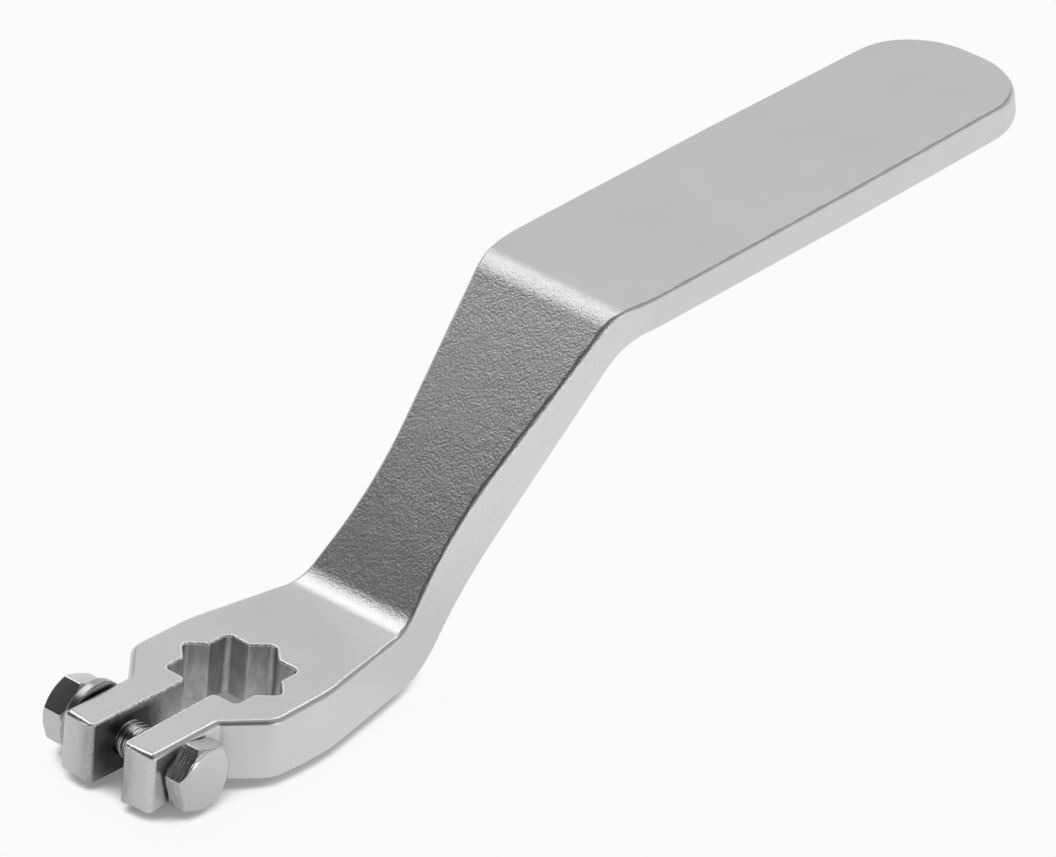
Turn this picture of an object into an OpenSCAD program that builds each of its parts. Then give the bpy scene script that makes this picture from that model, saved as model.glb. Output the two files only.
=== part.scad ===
// Hand lever for a quarter turn valve, cast in one piece, with a clamping bolt.
// Origin on the socket axis at the underside of the hub. The handle points along
// +X, the nut is on the +Y side, and +Z is up. All sizes are in millimetres.

/* [Hub] */
// Thickness of the flat hub
hub_t = 10.1; // [8:0.1:13]
// Width of the hub where the flare from the ears ends
hub_w = 29.2; // [28:0.2:34]
// Width of the hub where its sides start to run towards the waist
hub_side_w = 28.9; // [27:0.1:32]
// Socket axis to the point where the sides start to run towards the waist
hub_side_x = 6.4; // [4:0.2:12]
// Radius where the hub's sides turn towards the waist
hub_side_r = 25; // [5:1:30]
// Rounding of the cast edges all round
cast_r = 0.8; // [0.3:0.1:1.2]
// How far each side wall stands further out at the bottom than at the top
draft_w = 0.45; // [0:0.05:0.8]

/* [Socket] */
// Across the flats of each of the two squares that make the star
square_af = 14; // [12:0.1:15]
// Rounding in the tips of the star
star_tip_r = 0.4; // [0.2:0.1:1]
// Width of the slot between the ears
slot_w = 5.8; // [4.6:0.1:7]
// Rounding where the slot opens into the socket and at the ear ends
slot_corner_r = 1.1; // [0.4:0.1:2]

/* [Ears] */
// Width over the two ears
ear_span = 17.9; // [16:0.1:20]
// Socket axis to the end of the ears
ear_end_x = 27.1; // [25:0.1:32]
// Socket axis to the root of the flare beside the ears
flare_x = 12.93; // [12.6:0.01:12.95]
// Socket axis to the end of the flare
flare_end_x = 6.1; // [5:0.1:7]
// Rounding in the root of the flare
flare_root_r = 1.0; // [0.5:0.1:1.2]
// Rounding at the end of the flare
flare_end_r = 5; // [2:0.5:6]
// Rounding of the outer ear corners
ear_corner_r = 1.0; // [0.9:0.1:2]

/* [Incline] */
// Socket axis to the lower bend, on the top face
low_bend_x = 27.1; // [24:0.1:32]
// Socket axis to the upper bend, on the top face
crest_x = 67.6; // [60:0.1:72]
// Height of the upper bend, on the top face
crest_z = 50.6; // [40:0.1:56]
// Socket axis to the lower bend, on the underside
under_low_x = 32.9; // [32:0.1:38]
// Socket axis to the upper bend, on the underside
under_high_x = 70; // [68:0.1:74]
// Radius of the lower bend on the top face
low_bend_r = 4.9; // [2:0.1:8]
// Radius of the upper bend on the top face
crest_r = 5.5; // [2:0.1:8]
// Radius of the lower bend on the underside
under_low_r = 11.3; // [4:0.1:12]
// Radius of the upper bend on the underside
under_high_r = 9.9; // [4:0.1:12]
// Socket axis to the waist
waist_x = 39.9; // [36:0.1:44]
// Width of the waist between its two side lines, before it is rounded
waist_w = 16.7; // [15:0.02:20]
// Radius of the waist
waist_r = 41.5; // [20:0.5:45]

/* [Handle] */
// Socket axis to the tip
tip_x = 175.2; // [130:0.1:220]
// Width of the handle
handle_w = 28.8; // [26:0.1:32]
// Width that the handle would have at its tip with square corners
tip_w = 27.7; // [25:0.1:28]
// Corner radius of the tip
tip_r = 12.3; // [4:0.1:12.4]
// Rounding of the cast edges at the end of the tip
tip_edge_r = 2.1; // [0.3:0.1:2.1]
// Distance from the tip over which the rounding grows
tip_blend = 16; // [6:1:40]
// Socket axis to the start of the full handle width
grip_x = 74.4; // [74:0.1:80]
// Radius where the handle reaches its full width
grip_r = 40; // [10:1:40]
// Thickness of the handle at the upper bend
handle_t = 5.38; // [4.4:0.02:7]
// Rise of the handle's top face towards the tip, in degrees
handle_a = 1.92; // [0:0.01:4]
// Rise of the handle's underside towards the tip, in degrees
under_handle_a = 1.75; // [0:0.01:1.9]

/* [Clamping bolt] */
// Nominal thread diameter
bolt_d = 6; // [5:0.1:6]
// Length of the bolt under its head
bolt_len = 25; // [24:1:30]
// Clearance hole through the ears
bolt_hole_d = 7; // [6.2:0.1:7.2]
// Socket axis to the bolt axis
bolt_x = 19.1; // [18.9:0.1:19.3]
// Height of the bolt axis
bolt_z = 4.8; // [4.6:0.1:5.4]
// Across the flats of the bolt head and the nut
hex_af = 10; // [8:0.1:10]
// Height of the bolt head
head_h = 4; // [3:0.1:5]
// Thickness of the round bearing face under the head
head_face_t = 0.35; // [0.3:0.05:0.6]
// Turn of the bolt head about the bolt axis, in degrees
head_turn = 46.3; // [0:0.1:60]

/* [Washer and nut] */
// Outer diameter of the washer
washer_d = 12.4; // [11:0.1:12.4]
// Bore of the washer
washer_bore_d = 6.4; // [6.2:0.1:7]
// Thickness of the washer
washer_t = 1.6; // [1:0.1:2]
// Gap between the ear and the washer, as the nut is not run up tight
washer_gap = 0.35; // [0.05:0.05:1]
// Height of the nut
nut_h = 4.8; // [4:0.1:5.2]
// Turn of the nut about the bolt axis, in degrees
nut_turn = 40.7; // [0:0.1:60]
// Running clearance between the bolt and the nut, on the radius
thread_gap = 0.05; // [0.02:0.01:0.1]
// Slope of the chamfers on the head and the nut, in degrees
hex_chamfer_a = 30; // [15:1:35]

/* [Hidden] */

ROUND_FN = 96;
CORNER_FN = 32;
// Steps around each rounded edge and each rounded corner of the outline
EDGE_STEPS = 3;
CORNER_STEPS = 6;
TIP_STEPS = 16;
// Steps along each stretch of the lever
FLARE_STEPS = 12;
HUB_STEPS = 8;
BEND_STEPS = 18;
INCLINE_STEPS = 9;
HANDLE_STEPS = 8;
// Cutters run past the faces they cut by this much
PAST = 3;
// Cutters at a corner reach over it by this much
OVERLAP = 0.1;
// The hexagons' round bearing and end faces, as a share of their flats
FACE_SHARE = 0.86;
SHANK_CHAMFER = 0.7;
TAPER_R = 300;
BORE_CHAMFER = 0.6;

ear_half = ear_span / 2;
slot_half = slot_w / 2;
square_half = square_af / 2;
hex_d = hex_af / cos(30);
head_face_d = hex_af * FACE_SHARE;
under_high_z = crest_z + (under_high_x - crest_x) * tan(handle_a) - handle_t;
handle_run = tip_x - crest_x;
under_run = tip_x - under_high_x;
// The handle keeps its full width to the middle of its length
taper_x = grip_x + (tip_x - grip_x) * 0.48;
washer_y = ear_half + washer_gap;
nut_y = washer_y + washer_t;
shank_end_y = bolt_len - ear_half;

// Rows of [x, height, corner radius] along the top face and the underside
TOP_LINE = [
    [-ear_end_x, hub_t, 0],
    [low_bend_x, hub_t, low_bend_r],
    [crest_x, crest_z, crest_r],
    [tip_x, crest_z + handle_run * tan(handle_a), 0]
];
UNDER_LINE = [
    [-ear_end_x, 0, 0],
    [under_low_x, 0, under_low_r],
    [under_high_x, under_high_z, under_high_r],
    [tip_x, under_high_z + under_run * tan(under_handle_a), 0]
];
// Rows of [x, half width, corner radius] along the side
SIDE_LINE = [
    [-ear_end_x, ear_half, 0],
    [-flare_x, ear_half, flare_root_r],
    [-flare_end_x, hub_w / 2, flare_end_r],
    [hub_side_x, hub_side_w / 2, hub_side_r],
    [waist_x, waist_w / 2, waist_r],
    [grip_x, handle_w / 2, grip_r],
    [taper_x, handle_w / 2, TAPER_R],
    [tip_x, tip_w / 2, 0]
];

// Direction of the stretch that starts at row i
function run_a(rows, i) =
    atan2(rows[i + 1][1] - rows[i][1], rows[i + 1][0] - rows[i][0]);

// Distance from a corner to where its rounding starts
function reach(rows, i) =
    rows[i][2] * tan(abs(run_a(rows, i) - run_a(rows, i - 1)) / 2);

function arc_start(rows, i) = rows[i][0] - reach(rows, i) * cos(run_a(rows, i - 1));
function arc_end(rows, i) = rows[i][0] + reach(rows, i) * cos(run_a(rows, i));

// The corner whose rounding holds x, or 0 where the line is straight
function arc_at(rows, x) = max([
    for (i = [1 : len(rows) - 2])
        x > arc_start(rows, i) && x < arc_end(rows, i) ? i : 0
]);

// The stretch that holds x
function run_at(rows, x) = max([
    for (i = [0 : len(rows) - 2])
        x >= rows[i][0] ? i : 0
]);

function turn_of(rows, i) = run_a(rows, i) > run_a(rows, i - 1) ? 1 : -1;

// Centre of the rounding at corner i
function arc_centre(rows, i) =
    let (
        a = run_a(rows, i - 1),
        side = turn_of(rows, i),
        r = rows[i][2],
        x = arc_start(rows, i),
        z = rows[i][1] - reach(rows, i) * sin(a)
    )
    [x - side * r * sin(a), z + side * r * cos(a)];

// [height, direction] of a line of rows with rounded corners, at x
function on_line(rows, x) =
    let (i = arc_at(rows, x))
    i > 0
        ? let (
            c = arc_centre(rows, i),
            side = turn_of(rows, i),
            r = rows[i][2]
        )
        [c[1] - side * sqrt(r * r - pow(x - c[0], 2)), side * asin((x - c[0]) / r)]
        : let (k = run_at(rows, x), a = run_a(rows, k))
        [rows[k][1] + (x - rows[k][0]) * tan(a), a];

// Equal steps from a to b, without b
function steps(a, b, count) = [for (i = [0 : count - 1]) a + (b - a) * i / count];

// Stations of [x, half width, direction] from the ear ends to the tip
low_zone = min(arc_start(TOP_LINE, 1), arc_start(UNDER_LINE, 1));
mid_zone_a = max(arc_end(TOP_LINE, 1), arc_end(UNDER_LINE, 1));
mid_zone_b = min(arc_start(TOP_LINE, 2), arc_start(UNDER_LINE, 2));
high_zone = max(arc_end(TOP_LINE, 2), arc_end(UNDER_LINE, 2), arc_end(SIDE_LINE, 5));
flare_zone_a = arc_start(SIDE_LINE, 1);
flare_zone_b = arc_end(SIDE_LINE, 2);
tip_side_a = run_a(SIDE_LINE, 6);
tip_centre_x = tip_x - tip_r;
tip_centre_y = on_line(SIDE_LINE, tip_centre_x)[0] - tip_r / cos(tip_side_a);
tip_start_x = tip_centre_x - tip_r * sin(tip_side_a);

STATION_X = concat(
    steps(-ear_end_x + ear_corner_r, flare_zone_a, 2),
    steps(flare_zone_a, flare_zone_b, FLARE_STEPS),
    steps(flare_zone_b, low_zone, HUB_STEPS),
    steps(low_zone, mid_zone_a, BEND_STEPS),
    steps(mid_zone_a, mid_zone_b, INCLINE_STEPS),
    steps(mid_zone_b, high_zone, BEND_STEPS),
    steps(high_zone, tip_start_x, HANDLE_STEPS)
);

STATIONS = concat(
    [for (i = [0 : CORNER_STEPS - 1])
        let (a = 90 - 90 * i / CORNER_STEPS)
        [
            -ear_end_x + ear_corner_r - ear_corner_r * sin(a),
            ear_half - ear_corner_r + ear_corner_r * cos(a),
            a
        ]
    ],
    [for (x = STATION_X) let (p = on_line(SIDE_LINE, x)) [x, p[0], p[1]]],
    [for (i = [0 : TIP_STEPS])
        let (a = tip_side_a - (90 + tip_side_a) * i / TIP_STEPS)
        [tip_centre_x - tip_r * sin(a), tip_centre_y + tip_r * cos(a), a]
    ]
);

// The ears and the flare have upright sides, and the draft grows along the hub
function draft_at(x) = draft_w * max(0, min(1, (x + flare_end_x) / flare_end_x));

// The edges are rounder towards the end of the tip
function tip_share(x) = max(0, min(1, 1 - (tip_x - x) / tip_blend));
function edge_r_at(x) =
    let (t = tip_share(x))
    cast_r + (tip_edge_r - cast_r) * t * t * (3 - 2 * t);

// Rings of [inset from the outline, distance below the top or above the underside,
// 1 for the lower half], for a rounding of 1, from the edge of the top face to that
// of the underside
RINGS = concat(
    [for (i = [0 : EDGE_STEPS])
        let (a = 90 * i / EDGE_STEPS)
        [1 - sin(a), 1 - cos(a), 0]
    ],
    [for (i = [EDGE_STEPS : -1 : 0])
        let (a = 90 * i / EDGE_STEPS)
        [1 - sin(a), 1 - cos(a), 1]
    ]
);

// One point of the lever's skin, at station s, ring g, on the +Y or -Y side
function skin_point(s, g, side) =
    let (
        lower = g[2],
        rows = lower == 1 ? UNDER_LINE : TOP_LINE,
        up = lower == 1 ? 1 : -1,
        r = edge_r_at(s[0]),
        drop = g[1] * r,
        inset = g[0] * r - lower * draft_at(s[0]),
        x = s[0] + inset * sin(s[2]),
        y = s[1] - inset * cos(s[2]),
        foot = x + up * drop * sin(on_line(rows, x)[1]),
        p = on_line(rows, foot)
    )
    [foot - up * drop * sin(p[1]), side * y, p[0] + up * drop * cos(p[1])];

COUNT = len(STATIONS);
LOOP = 2 * COUNT;

SKIN_POINTS = [
    for (g = RINGS)
        for (k = [0 : LOOP - 1])
            k < COUNT
                ? skin_point(STATIONS[k], g, 1)
                : skin_point(STATIONS[LOOP - 1 - k], g, -1)
];

function wall_faces(ring) = [
    for (k = [0 : LOOP - 1])
        let (
            a = ring * LOOP + k,
            b = ring * LOOP + (k + 1) % LOOP,
            c = a + LOOP,
            d = b + LOOP
        )
        each [[b, a, c], [b, c, d]]
];

function cap_face(ring, i) = [
    ring * LOOP + i,
    ring * LOOP + i + 1,
    ring * LOOP + LOOP - 2 - i,
    ring * LOOP + LOOP - 1 - i
];

SKIN_FACES = concat(
    [for (i = [0 : COUNT - 2]) cap_face(0, i)],
    [for (ring = [0 : len(RINGS) - 2]) each wall_faces(ring)],
    [for (i = [0 : COUNT - 2])
        let (f = cap_face(len(RINGS) - 1, i))
        [f[3], f[2], f[1], f[0]]
    ]
);

// Square hole with small round corners, through the hub
module socket_square(turn) {
    long = square_af;
    short = square_af - 2 * star_tip_r;
    depth = hub_t + 2 * PAST;
    rotate([0, 0, turn]) {
        translate([-long / 2, -short / 2, -PAST]) cube([long, short, depth]);
        translate([-short / 2, -long / 2, -PAST]) cube([short, long, depth]);
        for (x = [-1, 1])
            for (y = [-1, 1])
                translate([x * short / 2, y * short / 2, -PAST])
                    cylinder(h = depth, r = star_tip_r, $fn = CORNER_FN);
    }
}

// Cutter that rounds a sharp upright corner of material. The corner is at the
// origin, and its material lies on the side that side_x and side_y point to.
module corner_rounder(side_x, side_y, r) {
    translate([0, 0, -PAST]) linear_extrude(hub_t + 2 * PAST) polygon(concat(
        [[-side_x * OVERLAP, -side_y * OVERLAP]],
        [for (i = [0 : CORNER_STEPS])
            let (a = 90 * i / CORNER_STEPS)
            [side_x * r * (1 - sin(a)), side_y * r * (1 - cos(a))]
        ]
    ));
}

module lever() {
    color([0.75, 0.76, 0.76])
    difference() {
        polyhedron(points = SKIN_POINTS, faces = SKIN_FACES, convexity = 6);
        socket_square(0);
        socket_square(45);
        translate([-ear_end_x - PAST, -slot_half, -PAST])
            cube([ear_end_x + PAST, slot_w, hub_t + 2 * PAST]);
        for (side = [-1, 1]) {
            translate([-square_half, side * slot_half, 0])
                corner_rounder(-1, side, slot_corner_r);
            translate([-ear_end_x, side * slot_half, 0])
                corner_rounder(1, side, ear_corner_r);
        }
        translate([-bolt_x, 0, bolt_z])
            rotate([90, 0, 0])
                cylinder(h = ear_span + 2 * PAST, d = bolt_hole_d, center = true, $fn = ROUND_FN);
    }
}

// Chamfered hexagonal prism along +Y from y = 0, with chamfers at the chosen ends
module hex_prism(height, turn, chamfer_start, chamfer_end) {
    rise = (hex_d - head_face_d) / 2 * tan(hex_chamfer_a);
    start = chamfer_start ? rise : 0;
    end = chamfer_end ? rise : 0;
    rotate([-90, 0, 0]) intersection() {
        rotate([0, 0, -turn]) cylinder(h = height, d = hex_d, $fn = 6);
        rotate_extrude($fn = ROUND_FN) polygon([
            [0, 0],
            [chamfer_start ? head_face_d / 2 : hex_d, 0],
            [chamfer_start ? hex_d / 2 : hex_d, start],
            [chamfer_end ? hex_d / 2 : hex_d, height - end],
            [chamfer_end ? head_face_d / 2 : hex_d, height],
            [0, height]
        ]);
    }
}

module clamp_bolt() {
    color([0.82, 0.82, 0.83])
    translate([-bolt_x, 0, bolt_z]) {
        translate([0, -ear_half - head_face_t, 0])
            mirror([0, 1, 0]) hex_prism(head_h - head_face_t, head_turn, false, true);
        translate([0, -ear_half, 0]) rotate([90, 0, 0])
            cylinder(h = head_face_t, d = head_face_d, $fn = ROUND_FN);
        translate([0, -ear_half - head_face_t / 2, 0]) rotate([-90, 0, 0])
            cylinder(h = shank_end_y + ear_half + head_face_t / 2 - SHANK_CHAMFER,
                d = bolt_d, $fn = ROUND_FN);
        translate([0, shank_end_y - SHANK_CHAMFER, 0]) rotate([-90, 0, 0])
            cylinder(h = SHANK_CHAMFER, d1 = bolt_d, d2 = bolt_d - 2 * SHANK_CHAMFER,
                $fn = ROUND_FN);
    }
}

module flat_washer() {
    color([0.80, 0.81, 0.82])
    translate([-bolt_x, washer_y, bolt_z]) rotate([-90, 0, 0]) difference() {
        cylinder(h = washer_t, d = washer_d, $fn = ROUND_FN);
        translate([0, 0, -PAST])
            cylinder(h = washer_t + 2 * PAST, d = washer_bore_d, $fn = ROUND_FN);
    }
}

module hex_nut() {
    bore_r = bolt_d / 2 + thread_gap;
    color([0.80, 0.81, 0.82])
    translate([-bolt_x, nut_y, bolt_z]) difference() {
        hex_prism(nut_h, nut_turn, true, true);
        rotate([-90, 0, 0]) translate([0, 0, -PAST])
            cylinder(h = nut_h + 2 * PAST, r = bore_r, $fn = ROUND_FN);
        rotate([-90, 0, 0]) translate([0, 0, nut_h - BORE_CHAMFER])
            cylinder(h = BORE_CHAMFER, r1 = bore_r, r2 = bore_r + BORE_CHAMFER, $fn = ROUND_FN);
        rotate([-90, 0, 0])
            cylinder(h = BORE_CHAMFER, r1 = bore_r + BORE_CHAMFER, r2 = bore_r, $fn = ROUND_FN);
    }
}

lever();
clamp_bolt();
flat_washer();
hex_nut();
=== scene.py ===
"""Dresses the valve hand lever: the cast lever, its clamping bolt, washer and nut.

Everything is in metres, in the frame of the solids: origin on the socket axis at
the underside of the hub, +X towards the tip of the handle, +Y towards the nut.
"""

import math

import bpy
import numpy as np
from bpy.props import FloatProperty, FloatVectorProperty, PointerProperty
from mathutils import Matrix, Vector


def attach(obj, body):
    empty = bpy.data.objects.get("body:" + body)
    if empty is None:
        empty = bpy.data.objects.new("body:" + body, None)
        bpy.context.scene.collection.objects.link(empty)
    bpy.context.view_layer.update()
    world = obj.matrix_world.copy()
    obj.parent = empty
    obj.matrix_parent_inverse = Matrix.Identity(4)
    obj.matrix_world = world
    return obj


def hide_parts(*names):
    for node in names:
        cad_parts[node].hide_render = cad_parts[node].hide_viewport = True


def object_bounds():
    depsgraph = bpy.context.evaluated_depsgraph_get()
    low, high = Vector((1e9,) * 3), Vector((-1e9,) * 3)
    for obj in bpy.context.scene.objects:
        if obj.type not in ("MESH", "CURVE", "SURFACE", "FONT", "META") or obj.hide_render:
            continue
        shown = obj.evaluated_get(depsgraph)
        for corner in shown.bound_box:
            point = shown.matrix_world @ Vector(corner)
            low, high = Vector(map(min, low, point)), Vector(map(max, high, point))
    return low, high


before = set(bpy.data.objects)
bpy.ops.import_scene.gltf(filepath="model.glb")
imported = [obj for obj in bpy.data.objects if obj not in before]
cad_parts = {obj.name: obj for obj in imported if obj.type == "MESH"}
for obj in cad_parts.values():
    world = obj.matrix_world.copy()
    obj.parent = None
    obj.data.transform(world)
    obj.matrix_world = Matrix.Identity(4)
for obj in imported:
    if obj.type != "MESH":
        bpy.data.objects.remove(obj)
CAD_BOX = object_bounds()

bl_info = {
    "name": "Valve hand lever",
    "version": (1, 0, 0),
    "blender": (4, 5, 0),
    "location": "View3D > Sidebar > Valve Lever",
    "description": "Builds a cast valve hand lever with its clamping bolt",
    "category": "Object",
}

MM = 0.001

ROUND_RINGS = 8  # rings of points across each rounded edge of the casting
EAR_END_ZONE = 1.2 * MM  # how far behind the ears' ends a point counts as on them
CRISP_START = math.radians(28)  # where the profile of the handle's edge starts
CRISP_RIM = 0.02 * MM  # width of the step into that edge
DRAFT_HEIGHT = 8 * MM  # height over which a wall leans out by its draft
EDGE_WAVES = (0.61, 1.13, 2.3)  # of the uneven edge, in radians per millimetre
EDGE_PHASES = (0.4, 2.1, 4.0)
TAPER_START = 0.48  # share of the grip's length where it starts to taper
EAR_CORNER_HIGHLIGHT = 0.12  # painted highlight share of an ear's upright corner
HEX_AROUND = 240  # points round the bolt and the nut
HEX_SHARPNESS = 90.0  # how sharp the hexagons' corners are
WASHER_AROUND = 200
THREAD_ROWS = 14  # rows of points per turn of the thread
THREAD_CREST = 0.26  # share of the wave that stays on the crest
THREAD_FLANK = 0.56  # share of the wave over which the flank falls
SHANK_SHADE = 0.05  # painted shade share of the bolt's shank, which darkens the thread
HEAD_STREAKS = 1.7  # streak share of the head's flats
WASHER_DULL_AND_SHADE = 0.9  # share that makes the whole washer darker and rougher: a duller finish and painted shade

NUMBER = "NodeSocketFloat"
VECTOR = "NodeSocketVector"
COLOUR = "NodeSocketColor"

# Smooth steps of the floor's glow in reflections: from x, to x, from share, to share
FLOOR_STEPS = (
    (-22 * MM, 0.0, 0.57, 0.76),
    (22 * MM, 40 * MM, 0.0, -0.1),
    (50 * MM, 80 * MM, 0.0, 0.25),
    (110 * MM, 150 * MM, 0.0, -0.15),
)
FLOOR_GAP = 0.2 * MM  # from the lowest point down to the floor
# The camera's right, up and backward directions and its place
CAMERA_AXES = (
    (0.63947, -0.76397, 0.08621),
    (0.32951, 0.37366, 0.86706),
    (-0.69462, -0.52605, 0.49068),
)
CAMERA_PLACE = (-0.72869, -0.60191, 0.58722)


def length(name, description, default_mm, low_mm=0.0, high_mm=1000.0):
    """A length property in metres, given here in millimetres."""
    return FloatProperty(
        name=name,
        description=description,
        default=default_mm * MM,
        min=low_mm * MM,
        max=high_mm * MM,
        precision=5,
        unit="LENGTH",
        subtype="DISTANCE",
    )


def watts(name, description, default_w):
    """A lamp's power, given in watts."""
    return FloatProperty(
        name=name, description=description, default=default_w, min=0.0, unit="POWER"
    )


def degrees(name, description, default):
    """An angle property, given here in degrees."""
    return FloatProperty(
        name=name,
        description=description,
        default=math.radians(default),
        subtype="ANGLE",
    )


def tint(name, description, default):
    """A colour property, as red, green and blue from 0 to 1."""
    return FloatVectorProperty(
        name=name,
        description=description,
        default=default,
        min=0.0,
        max=1.0,
        subtype="COLOR",
    )


class LeverSizes(bpy.types.PropertyGroup):
    """Sizes of the cast lever."""

    hub_t: length("Hub thickness", "Thickness of the flat hub", 10.1)
    hub_w: length("Hub width", "Width of the hub where the flare ends", 29.2)
    hub_side_w: length("Hub side width", "Hub width where its sides turn", 28.9)
    hub_side_x: length("Hub side", "Socket axis to where the sides turn", 6.4)
    hub_side_r: length("Hub side radius", "Radius where the sides turn", 25.0)
    edge_r: length("Edge radius", "Rounding of the outer cast edges", 0.8)
    inner_edge_r: length("Inner edge radius", "Rounding of the socket's edges", 0.44)
    foot_edge_r: length("Foot edge radius", "Rounding at the socket's foot", 0.08)
    draft_w: length("Draft", "How far a side wall stands out at its foot", 0.45)
    square_af: length("Socket flats", "Across the flats of each star square", 14.0)
    star_tip_r: length("Star tip radius", "Rounding in the star's tips", 1.0)
    star_root_r: length("Star root radius", "Rounding between the tips", 0.5)
    slot_w: length("Slot width", "Width of the slot between the ears", 5.8)
    slot_draw: length("Slot draw", "How far each slot wall closes in at the star", 0.3)
    slot_corner_r: length("Slot corner radius", "Slot to socket rounding", 1.1)
    ear_span: length("Ear span", "Width over the two ears", 17.9)
    ear_end_x: length("Ear end", "Socket axis to the end of the ears", 27.1)
    ear_corner_r: length("Ear corner radius", "Rounding of the ear corners", 1.0)
    flare_x: length("Flare root", "Socket axis to the root of the flare", 12.93)
    flare_end_x: length("Flare end", "Socket axis to the end of the flare", 6.1)
    flare_root_r: length("Flare root radius", "Rounding in the flare's root", 1.0)
    flare_end_r: length("Flare end radius", "Rounding at the flare's end", 5.0)
    low_bend_x: length("Lower bend", "Socket axis to the lower bend", 27.1)
    crest_x: length("Upper bend", "Socket axis to the upper bend", 67.6)
    crest_z: length("Upper bend height", "Height of the upper bend", 50.6)
    under_low_x: length("Lower bend below", "Lower bend on the underside", 32.9)
    under_high_x: length("Upper bend below", "Upper bend on the underside", 70.0)
    low_bend_r: length("Lower bend radius", "On the top face", 7.0)
    crest_r: length("Upper bend radius", "On the top face", 8.0)
    under_low_r: length("Lower radius below", "On the underside", 11.3)
    under_high_r: length("Upper radius below", "On the underside", 9.9)
    waist_x: length("Waist", "Socket axis to the waist", 39.9)
    waist_w: length("Waist width", "Between the side lines, before rounding", 16.7)
    waist_r: length("Waist radius", "Radius of the waist", 41.5)
    tip_x: length("Tip", "Socket axis to the tip", 175.2)
    handle_w: length("Handle width", "Width of the handle", 28.8)
    tip_w: length("Tip width", "Width at the tip with square corners", 27.7)
    tip_r: length("Tip radius", "Corner radius of the tip", 12.3)
    tip_edge_r: length("Tip edge radius", "Rounding of the edges at the tip", 2.1)
    tip_blend: length("Tip blend", "Length over which that rounding grows", 16.0)
    grip_x: length("Grip start", "Socket axis to the full handle width", 74.4)
    grip_r: length("Grip radius", "Radius at the start of the grip", 40.0)
    taper_r: length("Taper radius", "Radius where the taper starts", 300.0)
    handle_t: length("Handle thickness", "At the upper bend", 5.38)
    handle_a: degrees("Top rise", "Rise of the handle's top face", 1.92)
    under_handle_a: degrees("Underside rise", "Rise of the handle's underside", 1.75)


class FastenerSizes(bpy.types.PropertyGroup):
    """Sizes of the clamping bolt, its washer and its nut."""

    bolt_x: length("Bolt place", "Socket axis to the bolt axis", 19.1)
    bolt_z: length("Bolt height", "Height of the bolt axis", 4.8)
    bolt_d: length("Thread diameter", "Nominal thread diameter", 6.0)
    bolt_len: length("Bolt length", "Length under the head", 25.0)
    pitch: length("Thread pitch", "Distance between the thread's crests", 1.0)
    thread_depth: length("Thread depth", "Crest to root", 0.6)
    hex_af: length("Across flats", "Across the flats of head and nut", 10.0)
    head_h: length("Head height", "Height of the bolt head", 4.0)
    head_face_t: length("Bearing face", "Thickness under the head", 0.35)
    head_face_d: length("Face diameter", "Flat face on head and nut", 7.8)
    crown_w: length("Crown", "Width over which the chamfer curves in", 1.0)
    washer_d: length("Washer diameter", "Outer diameter", 12.4)
    washer_bore_d: length("Washer bore", "Bore of the washer", 6.4)
    washer_t: length("Washer thickness", "Thickness of the washer", 1.6)
    washer_gap: length("Washer gap", "Ear to washer", 0.35)
    nut_h: length("Nut height", "Height of the nut", 4.8)
    thread_gap: length("Thread clearance", "Bolt to nut, on the radius", 0.05)
    head_turn: degrees("Head turn", "Turn of the bolt head about its axis", 46.3)
    nut_turn: degrees("Nut turn", "Turn of the nut about its axis", 40.7)
    chamfer_a: degrees("Chamfer slope", "Slope of the chamfers on head and nut", 33.0)


class FinishSettings(bpy.types.PropertyGroup):
    """Colours and finishes of the metal."""

    lever_colour: tint(
        "Casting", "Colour of the blasted cast steel", (0.71, 0.72, 0.72)
    )
    fastener_colour: tint(
        "Fasteners", "Colour of the bright bolt, washer and nut", (0.65, 0.66, 0.67)
    )
    grain_height: length("Grain", "Height of the blasted grain", 0.07)
    swell_height: length("Swell", "Height of the casting's slow waves", 0.05)


class StageSettings(bpy.types.PropertyGroup):
    """Floor, lamps and camera."""

    floor_colour: tint("Floor", "Colour of the floor", (0.9, 0.9, 0.9))
    lens: FloatProperty(
        name="Lens",
        description="Focal length of the camera in millimetres",
        default=255.68,
        min=50.0,
        max=500.0,
        subtype="DISTANCE_CAMERA",
    )
    floor_half: length("Floor", "Half the side of the floor", 4000.0, 1000.0, 20000.0)
    far_power: watts("Far softbox", "Large softbox beyond the handle", 2.3)
    top_power: watts("Top softbox", "Close softbox that lights the bends", 0.31)
    rim_power: watts("Rim softbox", "Low strip that lights the bolt's rims", 1.3)
    edge_power: watts("Edge softbox", "Small softbox that lights the edges", 1.4)


def unit(vectors):
    """The same vectors at length 1."""
    return vectors / np.linalg.norm(vectors, axis=-1, keepdims=True)


def ramp(x, start, end):
    """Share of the way from start to end, kept between 0 and 1."""
    return np.clip((x - start) / (end - start), 0, 1)


def smooth(t):
    """Smooth step of a share: t^2 (3 - 2 t)."""
    return t**2 * (3 - 2 * t)


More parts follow.
